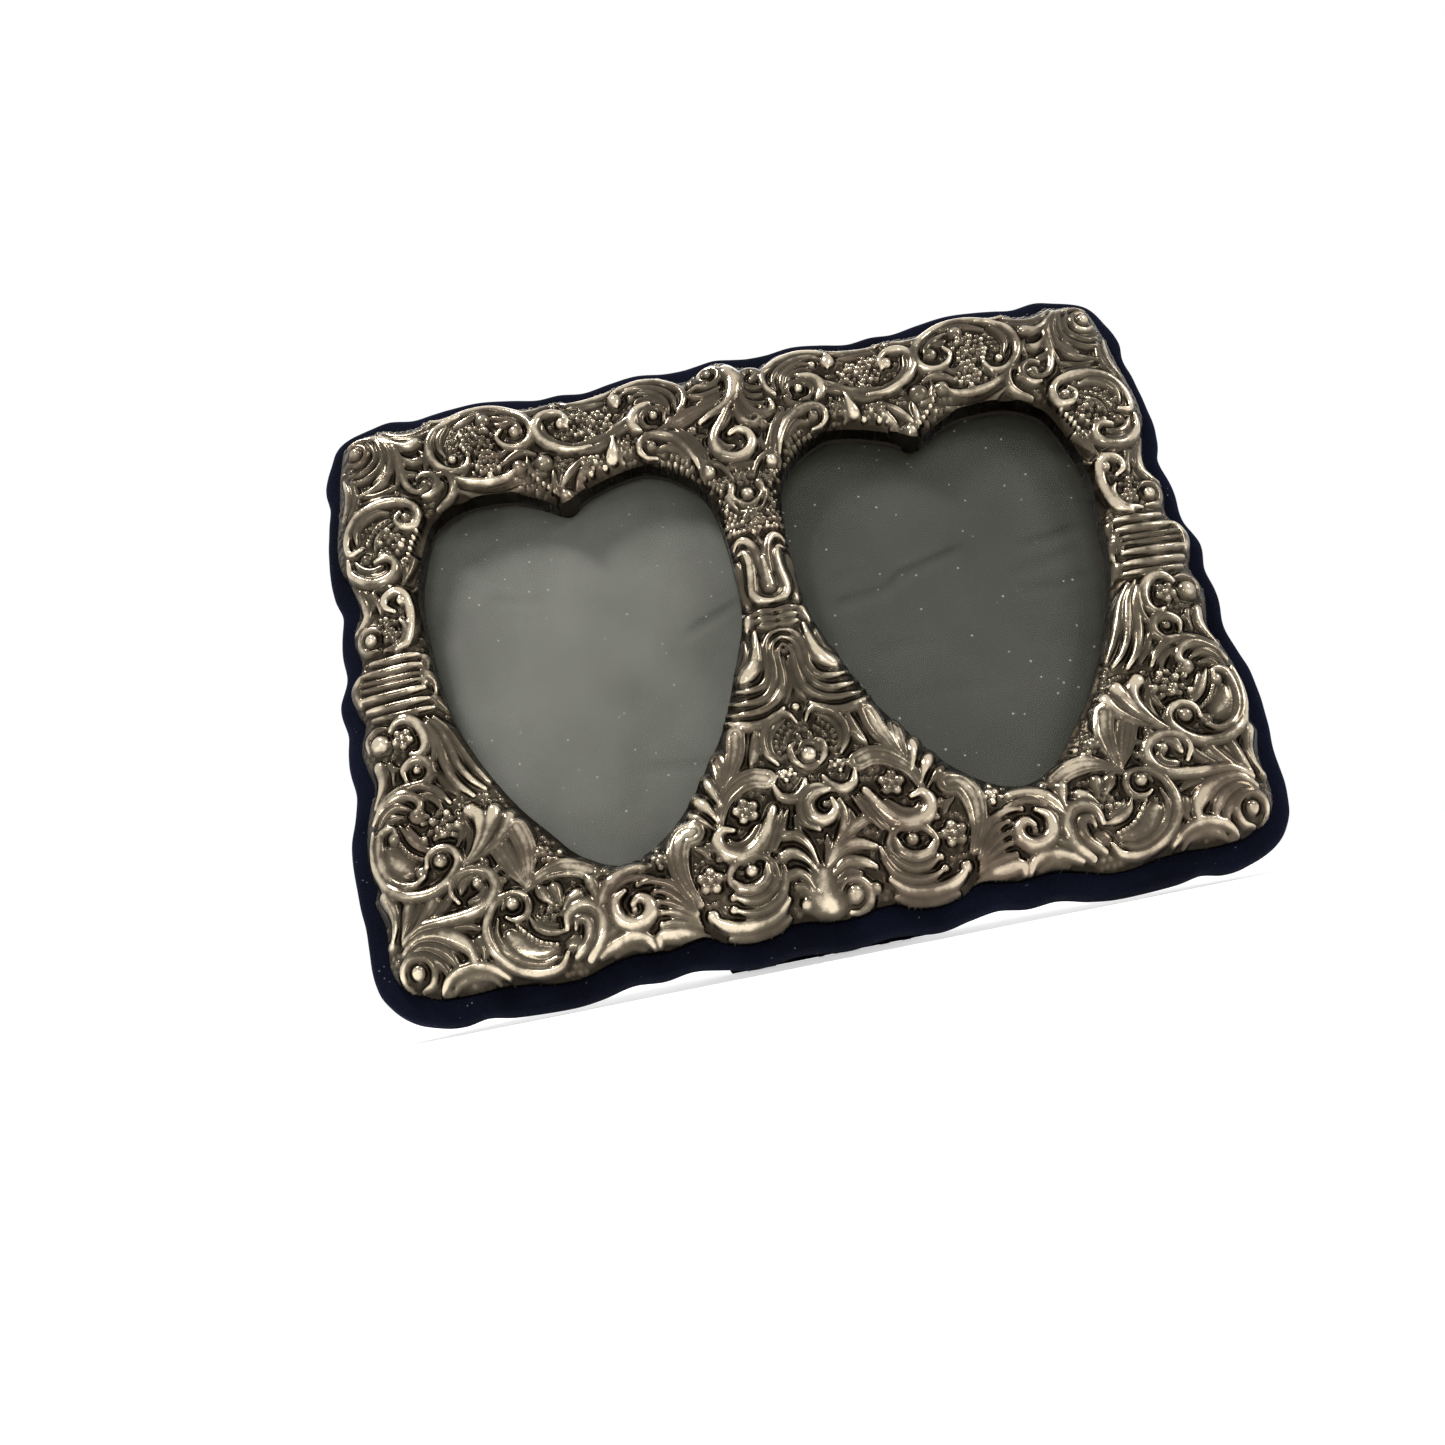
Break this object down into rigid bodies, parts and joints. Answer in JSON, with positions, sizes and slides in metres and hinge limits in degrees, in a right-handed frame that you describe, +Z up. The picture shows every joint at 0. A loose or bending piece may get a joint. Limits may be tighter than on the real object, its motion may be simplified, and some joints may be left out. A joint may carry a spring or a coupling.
{
  "type": "double heart photo frame",
  "caption": "Standing picture frame with heart-shaped windows side by side in a scrolled, scalloped silver front on a velvet body, with a lift-out back and a folding easel strut.",
  "frame": {"origin": "bottom centre of the bounding box, on the ground under the frame standing open on its strut", "axes": "+X to the right seen from the front, -Y out of the front, +Z up"},
  "size_m": [0.213, 0.0713, 0.1596],
  "materials": {
    "silver_plate": "stamped silver plate with warm tarnish",
    "board": "raw board",
    "brass": "drawn wire",
    "glass": "clear, dusty",
    "insert_sheet": "dark grey-green film, slightly creased",
    "card": "grey card",
    "velvet": "navy velvet",
    "ribbon": "navy ribbon",
    "hinge_steel": "nickel-plated sheet"
  },
  "bodies": {
    "frame": {"front_casing": "silver_plate", "filler_board": "board", "fixing_brads": "brass", "glass_left": "glass", "glass_right": "glass", "insert_left": "insert_sheet", "insert_right": "insert_sheet", "pressure_card": "card", "core_board": "board", "velvet_cover": "velvet"},
    "back_panel": {"back_panel_board": "board", "back_panel_velvet": "velvet", "pull_tab": "ribbon", "hinge_leaf_panel": "hinge_steel", "panel_rivets": "hinge_steel", "hinge_pin": "hinge_steel"},
    "strut": {"hinge_leaf_strut": "hinge_steel", "strut_rivets": "hinge_steel", "strut_board": "board", "strut_velvet": "velvet"}
  },
  "joints": [
    {"name": "panel_lift", "type": "slide", "parent": "frame", "child": "back_panel", "axis": [0, 0.9744, -0.225], "range_m": [0, 0.02]},
    {"name": "strut_fold", "type": "hinge", "parent": "back_panel", "child": "strut", "pos_m": [0, 0.0036, 0.09797], "axis": [1, 0, 0], "range_deg": [-28.6, 0]}
  ]
}
